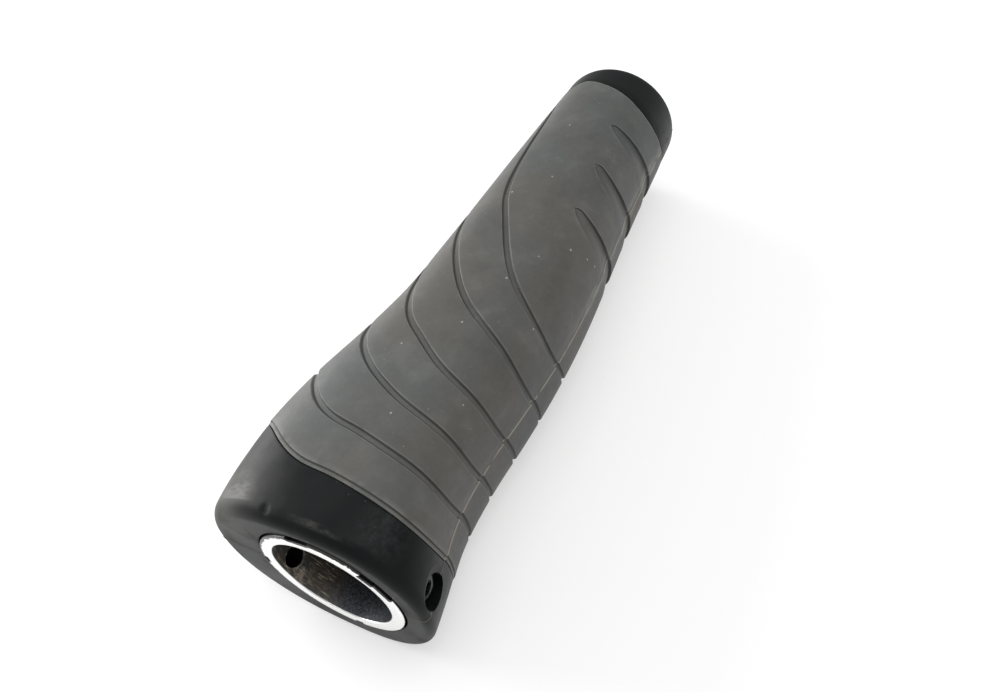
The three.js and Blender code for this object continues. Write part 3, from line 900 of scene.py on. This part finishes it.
bpy.ops.object.select_all(action="DESELECT")
bpy.ops.mesh.primitive_plane_add(
    size=1,
    location=(RING_WIDTH / 2, (BAR_RADIUS + RING_RADIUS) / 2, 0),
)
ring = bpy.context.object
ring.name = "ring_aluminium"
ring.scale = (RING_WIDTH, RING_RADIUS - BAR_RADIUS, 1)
bpy.ops.object.transform_apply(location=True, rotation=True, scale=True)
bpy.ops.object.mode_set(mode="EDIT")
bpy.ops.mesh.select_all(action="SELECT")
bpy.ops.mesh.bevel(offset=RING_EDGE, segments=3, affect="VERTICES")
bpy.ops.mesh.delete(type="ONLY_FACE")
bpy.ops.mesh.select_all(action="SELECT")
bpy.ops.mesh.spin(steps=240, angle=2 * math.pi, center=(0, 0, 0), axis=(1, 0, 0))
bpy.ops.mesh.select_all(action="SELECT")
bpy.ops.mesh.remove_doubles(threshold=1e-6)
bpy.ops.mesh.normals_make_consistent(inside=False)
bpy.ops.object.mode_set(mode="OBJECT")
for angle, width, depth in NOTCHES:
    cutter = radial_block(
        width, -NOTCH_REACH, NOTCH_REACH, RING_RADIUS - depth, 2 * RING_RADIUS, angle, NOTCH_ROUND
    )
    combine(ring, cutter, "DIFFERENCE")
for radius, along, angle in (
    (THREAD_RADIUS, SCREW_ALONG, SCREW_ANGLE),
    (CROSS_HOLE_RADIUS, CROSS_HOLE_ALONG, CROSS_HOLE_ANGLE),
):
    combine(ring, radial_rod(radius, radius, 0, 2 * RING_RADIUS, along, angle), "DIFFERENCE")
shade(ring, 30)

ALUMINIUM = (0.95, 0.95, 0.94)
RING_FACE_SHADE = (0.02, 0.02, 0.019)
BORE_SHADE_DARK = (0.03, 0.033, 0.043)
BORE_SHADE_PALE = (0.13, 0.133, 0.15)
BORE_BROWN_REFLECTION = (0.1, 0.084, 0.061)
BORE_HIGHLIGHT = (0.75, 0.64, 0.48)
HOLE_RIM_HIGHLIGHT = (0.6, 0.57, 0.54)
HOLE_WALL_SHADE = (0.012, 0.012, 0.012)
BRIGHT_PATCH_AT = (1.3 * MM, -30)

aluminium = Finish("turned_aluminium", Specular_IOR_Level=0.5)
radius = aluminium.place.scaled(0, 1, 1).length()
behind_face = aluminium.place.axis(0).rise(0.12 * MM, 0.3 * MM)
in_wall = radius.rise(BAR_RADIUS + 0.05 * MM, BAR_RADIUS + 0.25 * MM)
turning = aluminium.noise(1, 3, 0.7, aluminium.place.scaled(7000, 60, 60))
face_marks = aluminium.noise(1, 2, 0.7, radius.node("ShaderNodeCombineXYZ", (), {0: radius * 16000}))
speckle = aluminium.noise(2600, 3, 0.7)
palm_side = aluminium.place.axis(1)
brown_reflection = palm_side.rise(1 * MM, 7 * MM) * aluminium.noise(170, 3, 0.6).rise(0.2, 0.55)
bore_streaks = aluminium.noise(1, 3, 0.75, aluminium.place.scaled(5000, 500, 140))
bore_highlight = bore_streaks.rise(0.55, 0.64) * palm_side.rise(3 * MM, 7 * MM)
bore_highlight = bore_highlight * aluminium.noise(350, 2).rise(0.35, 0.6)
hole_middle = points_at(CROSS_HOLE_ALONG, CROSS_HOLE_ANGLE, BAR_RADIUS)
hole_rim_highlight = aluminium.spot(hole_middle, CROSS_HOLE_RADIUS + 0.1 * MM, CROSS_HOLE_RADIUS + 0.35 * MM)
hole_rim_highlight = hole_rim_highlight * aluminium.noise(1200, 2).rise(0.45, 0.55)
bright_patch = aluminium.spot(points_at(*BRIGHT_PATCH_AT, BAR_RADIUS), 1.2 * MM, 4 * MM)
bright_patch = bright_patch * aluminium.noise(900, 3, 0.7).rise(0.4, 0.7)
# The bore's dark colour is painted shade, far below the end face's aluminium, with a fine speckle
colour = speckle.rise(0.35, 0.7).mix(BORE_SHADE_DARK, BORE_SHADE_PALE)
# Painted reflections: brown streaks on the palm side of the bore
colour = (brown_reflection * (bore_streaks.rise(0.3, 0.6) * 0.5 + 0.45)).mix(colour, BORE_BROWN_REFLECTION)
# Painted highlights: bright streaks on the palm side of the bore, and a bright patch near the cross
# hole
colour = (bore_highlight * 0.8 + bright_patch * 0.5).clamped().mix(colour, BORE_HIGHLIGHT)
# A painted highlight on the rim of the cross hole, broken up by noise
colour = (hole_rim_highlight * (1 - in_wall) * 0.8).mix(colour, HOLE_RIM_HIGHLIGHT)
# Painted shade: the ring's holes, notches and every other surface behind the end face outside the bore
# are near black
colour = in_wall.mix(colour, HOLE_WALL_SHADE)

# Painted shade darkens the end face along its outer edge, where it meets the moulding, widest above and
# near the notches; there the face is not metallic
ragged = aluminium.noise(1100, 3, 0.7) - 0.5
off_centre = aluminium.place.scaled(0, 1, 1).offset(0, 0.3 * MM, 0.35 * MM).length()
near_notches = aluminium.spot(points_at(0, 83, RING_RADIUS), 1.5 * MM, 3.2 * MM)
near_notches = near_notches + aluminium.spot(points_at(0, 144, RING_RADIUS), 2.5 * MM, 4 * MM)
face_edge_shade = (off_centre + ragged * 1.2 * MM + near_notches * 0.2 * MM).rise(13.3 * MM, 13.4 * MM)
aluminium.feed("Base Color", behind_face.mix(face_edge_shade.mix(ALUMINIUM, RING_FACE_SHADE), colour))
aluminium.feed("Metallic", (1 - behind_face * 0.5) * (1 - face_edge_shade))
aluminium.feed("Roughness", behind_face * 0.15 + face_marks * 0.12 + 0.2)
aluminium.bump(face_marks * (1 - behind_face) + turning * behind_face, 0.00002, 0.4)
ring.data.materials.append(aluminium.material)
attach(ring, "root")
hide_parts("clamp_ring")

# Grub screw
# A short black steel screw with a hexagon socket, driven through the ring's wall to bite on the
# bar. Its outer end stands free in the core's well.

SCREW_RADIUS = 2.5 * MM
SCREW_ROOT = 2.1 * MM
SCREW_LENGTH = 3.8 * MM
SCREW_PITCH = 0.8 * MM
HEX_KEY = 2.5 * MM
HEX_DEPTH = 2 * MM
RIM_RADIUS = SCREW_ROOT * 0.72
RIM_DEPTH = 0.18 * MM
THREAD_ROOT = SCREW_ROOT - 0.1 * MM
THREAD_CREST = 0.06 * SCREW_PITCH
THREAD_FLANK = 0.4 * SCREW_PITCH
THREAD_STEPS = 48

screw_tip = BAR_RADIUS + GAP
screw_head = screw_tip + SCREW_LENGTH
screw = radial_rod(SCREW_ROOT, SCREW_ROOT, screw_tip, screw_head, SCREW_ALONG, SCREW_ANGLE, vertices=72)
screw.name = "screw_steel"
bpy.ops.object.transform_apply(location=True, rotation=True, scale=True)
hexagon = radial_rod(
    HEX_KEY / 2 / math.cos(math.pi / 6),
    HEX_KEY / 2 / math.cos(math.pi / 6),
    screw_head - HEX_DEPTH,
    screw_head + HEX_DEPTH,
    SCREW_ALONG,
    SCREW_ANGLE,
    vertices=6,
)
combine(screw, hexagon, "DIFFERENCE")
rim = radial_rod(
    RIM_RADIUS,
    RIM_RADIUS,
    screw_head - RIM_DEPTH,
    screw_head + HEX_DEPTH,
    SCREW_ALONG,
    SCREW_ANGLE,
    vertices=72,
)
combine(screw, rim, "DIFFERENCE")

turns = round(SCREW_LENGTH / SCREW_PITCH) - 1
bpy.ops.object.select_all(action="DESELECT")
bpy.ops.mesh.primitive_plane_add(size=1)
thread = bpy.context.object
corners = [(THREAD_ROOT, -THREAD_FLANK), (SCREW_RADIUS, -THREAD_CREST)]
corners += [(THREAD_ROOT, THREAD_FLANK), (SCREW_RADIUS, THREAD_CREST)]
for vertex, (reach, height) in zip(thread.data.vertices, corners):
    vertex.co = (reach, 0, height)
winding = thread.modifiers.new("winding", "SCREW")
winding.axis = "Z"
winding.angle = 2 * math.pi * turns
winding.screw_offset = SCREW_PITCH * turns
winding.steps = THREAD_STEPS * turns
winding.render_steps = THREAD_STEPS * turns
winding.use_smooth_shade = False
bpy.ops.object.mode_set(mode="EDIT")
bpy.ops.mesh.select_all(action="SELECT")
bpy.ops.mesh.delete(type="ONLY_FACE")
bpy.ops.object.mode_set(mode="OBJECT")
bpy.ops.object.modifier_apply(modifier=winding.name)
bpy.ops.object.mode_set(mode="EDIT")
bpy.ops.mesh.select_all(action="DESELECT")
bpy.ops.mesh.select_non_manifold(extend=False)
bpy.ops.mesh.fill()
bpy.ops.mesh.select_all(action="SELECT")
bpy.ops.mesh.normals_make_consistent(inside=False)
bpy.ops.object.mode_set(mode="OBJECT")
thread.rotation_euler = (math.radians(SCREW_ANGLE - 90), 0, 0)
thread.location = Vector((SCREW_ALONG, 0, 0)) + outward(SCREW_ANGLE) * (screw_tip + 0.5 * SCREW_PITCH)
bpy.ops.object.transform_apply(location=True, rotation=True, scale=True)
select_only(screw)
thread.select_set(True)
bpy.ops.object.join()
shade(screw, 40)

STEEL = (0.06, 0.06, 0.062)
STEEL_WORN = (0.2, 0.19, 0.18)

steel = Finish("black_steel", Metallic=1.0)
wear = steel.noise(1500, 3, 0.6)
steel.feed("Base Color", wear.rise(0.45, 0.8).mix(STEEL, STEEL_WORN))
steel.feed("Roughness", wear * 0.25 + 0.25)
steel.bump(wear, 0.00002, 0.4)
screw.data.materials.append(steel.material)
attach(screw, "root")
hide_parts("grub_screw")

# Floor and light
# A white floor under the grip, a big window light on the palm side, two soft lights and a plain
# bright surrounding.

FLOOR_SIZE = 3
FLOOR_GLOW = 0.45
FLOOR_GAP = 0.2 * MM
FLOOR_COLOUR = (0.6, 0.6, 0.6, 1)
FLOOR_ROUGHNESS = 0.9
SURROUNDINGS_STRENGTH = 0.6
WHITE = (1, 1, 1, 1)
LAMPS = [
    # name, place, aimed at, width and height, watts
    ("window_light", (0.12, 0.67, 0.19), (0.05, 0, 0), (0.7, 0.5), 6.2),
    ("finger_side_light", (0.085, -0.318, 0.62), (0.05, 0, 0), (0.45, 0.45), 0.9),
    ("top_light", (0.05, 0, 0.7), (0.05, 0.001, 0), (0.45, 0.45), 0.85),
]

bpy.ops.object.select_all(action="DESELECT")
bpy.ops.mesh.primitive_plane_add(size=FLOOR_SIZE, location=(0, 0, cad_box[0][2] - FLOOR_GAP))
floor = bpy.context.object
floor.name = "floor"
floor.data.materials.append(bpy.data.materials.new("white_floor"))
floor.data.materials[0].use_nodes = True
tree = floor.data.materials[0].node_tree
floor_shader = tree.nodes["Principled BSDF"]
floor_shader.inputs["Base Color"].default_value = FLOOR_COLOUR
floor_shader.inputs["Roughness"].default_value = FLOOR_ROUGHNESS
floor_shader.inputs["Emission Color"].default_value = WHITE
rays = tree.nodes.new("ShaderNodeLightPath")
seen = Value(tree, rays.outputs["Is Camera Ray"])
seen = seen + Value(tree, rays.outputs["Is Glossy Ray"])
seen = seen + Value(tree, rays.outputs["Is Transmission Ray"])
tree.links.new((seen * FLOOR_GLOW).socket, floor_shader.inputs["Emission Strength"])

for name, place, target, (width, height), watts in LAMPS:
    lamp = bpy.data.lights.new(name, "AREA")
    lamp.shape = "RECTANGLE"
    lamp.size = width
    lamp.size_y = height
    lamp.energy = watts
    lamp_object = bpy.data.objects.new(name, lamp)
    aim = (Vector(target) - Vector(place)).to_track_quat("-Z", "Y")
    lamp_object.matrix_world = Matrix.Translation(place) @ aim.to_matrix().to_4x4()
    bpy.context.scene.collection.objects.link(lamp_object)

world = bpy.data.worlds.new("surroundings")
world.use_nodes = True
background = world.node_tree.nodes["Background"]
background.inputs["Color"].default_value = WHITE
background.inputs["Strength"].default_value = SURROUNDINGS_STRENGTH
bpy.context.scene.world = world
bpy.context.scene.view_settings.view_transform = "Standard"
